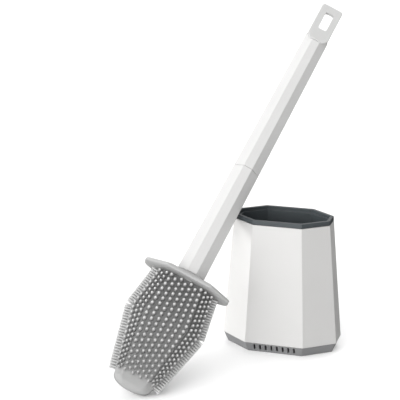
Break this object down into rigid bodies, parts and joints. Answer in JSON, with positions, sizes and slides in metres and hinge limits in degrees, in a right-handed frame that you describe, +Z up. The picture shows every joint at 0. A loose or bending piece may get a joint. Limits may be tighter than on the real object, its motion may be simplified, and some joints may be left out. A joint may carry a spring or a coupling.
{
  "type": "toilet brush and holder set",
  "caption": "Tapered octagonal toilet brush holder with a lift-out liner and vented drip base, a silicone paddle brush leaning on its rim, and a stick-on wall pad.",
  "frame": {"origin": "middle of the holder base's underside, on the floor", "axes": "+Z up; +X along the holder's width, to the right; +Y to the holder's back, where the wall pad is"},
  "size_m": [0.1619, 0.296, 0.2872],
  "materials": {
    "base_grey": "satin moulded ABS, mid grey",
    "shell_white": "fine satin moulded polypropylene, warm white",
    "liner_slate": "satin moulded polypropylene, dark slate grey",
    "pad_white": "smooth moulded ABS, white",
    "pad_film": "smooth white polyester film",
    "pad_adhesive": "matt foam adhesive",
    "silicone_grey": "matt moulded silicone, light grey",
    "collar_grey": "smooth matt moulded silicone, light grey",
    "core_plastic": "plain moulded polypropylene",
    "handle_white": "fine satin moulded ABS, white",
    "cap_grey": "satin moulded ABS, pale grey"
  },
  "bodies": {
    "base": {"base_tray": "base_grey"},
    "shell": {"outer_shell": "shell_white"},
    "liner": {"inner_liner": "liner_slate"},
    "wall_pad": {"pad_plate": "pad_white", "pad_film": "pad_film", "pad_adhesive": "pad_adhesive"},
    "brush_head": {"silicone_head": "silicone_grey", "head_core": "core_plastic", "splash_collar": "collar_grey"},
    "handle_low": {"lower_handle": "handle_white", "handle_connector": "core_plastic"},
    "handle_high": {"upper_handle": "handle_white", "hanging_cap": "cap_grey"}
  },
  "joints": [
    {"name": "shell_lift", "type": "slide", "parent": "base", "child": "shell", "axis": [0, 0, 1], "range_m": [0, 0.04]},
    {"name": "liner_lift", "type": "slide", "parent": "shell", "child": "liner", "axis": [0, 0, 1], "range_m": [0, 0.12]},
    {"name": "pad_slide", "type": "slide", "parent": "shell", "child": "wall_pad", "axis": [0, 0, -1], "range_m": [0, 0.042]},
    {"name": "brush_lift", "type": "slide", "parent": "liner", "child": "brush_head", "axis": [0, 0, 1], "range_m": [0, 0.12]},
    {"name": "head_pull", "type": "slide", "parent": "brush_head", "child": "handle_low", "axis": [0.2376, 0.7205, 0.6514], "range_m": [0, 0.038]},
    {"name": "handle_pull", "type": "slide", "parent": "handle_low", "child": "handle_high", "axis": [0.2376, 0.7205, 0.6514], "range_m": [0, 0.032]}
  ]
}
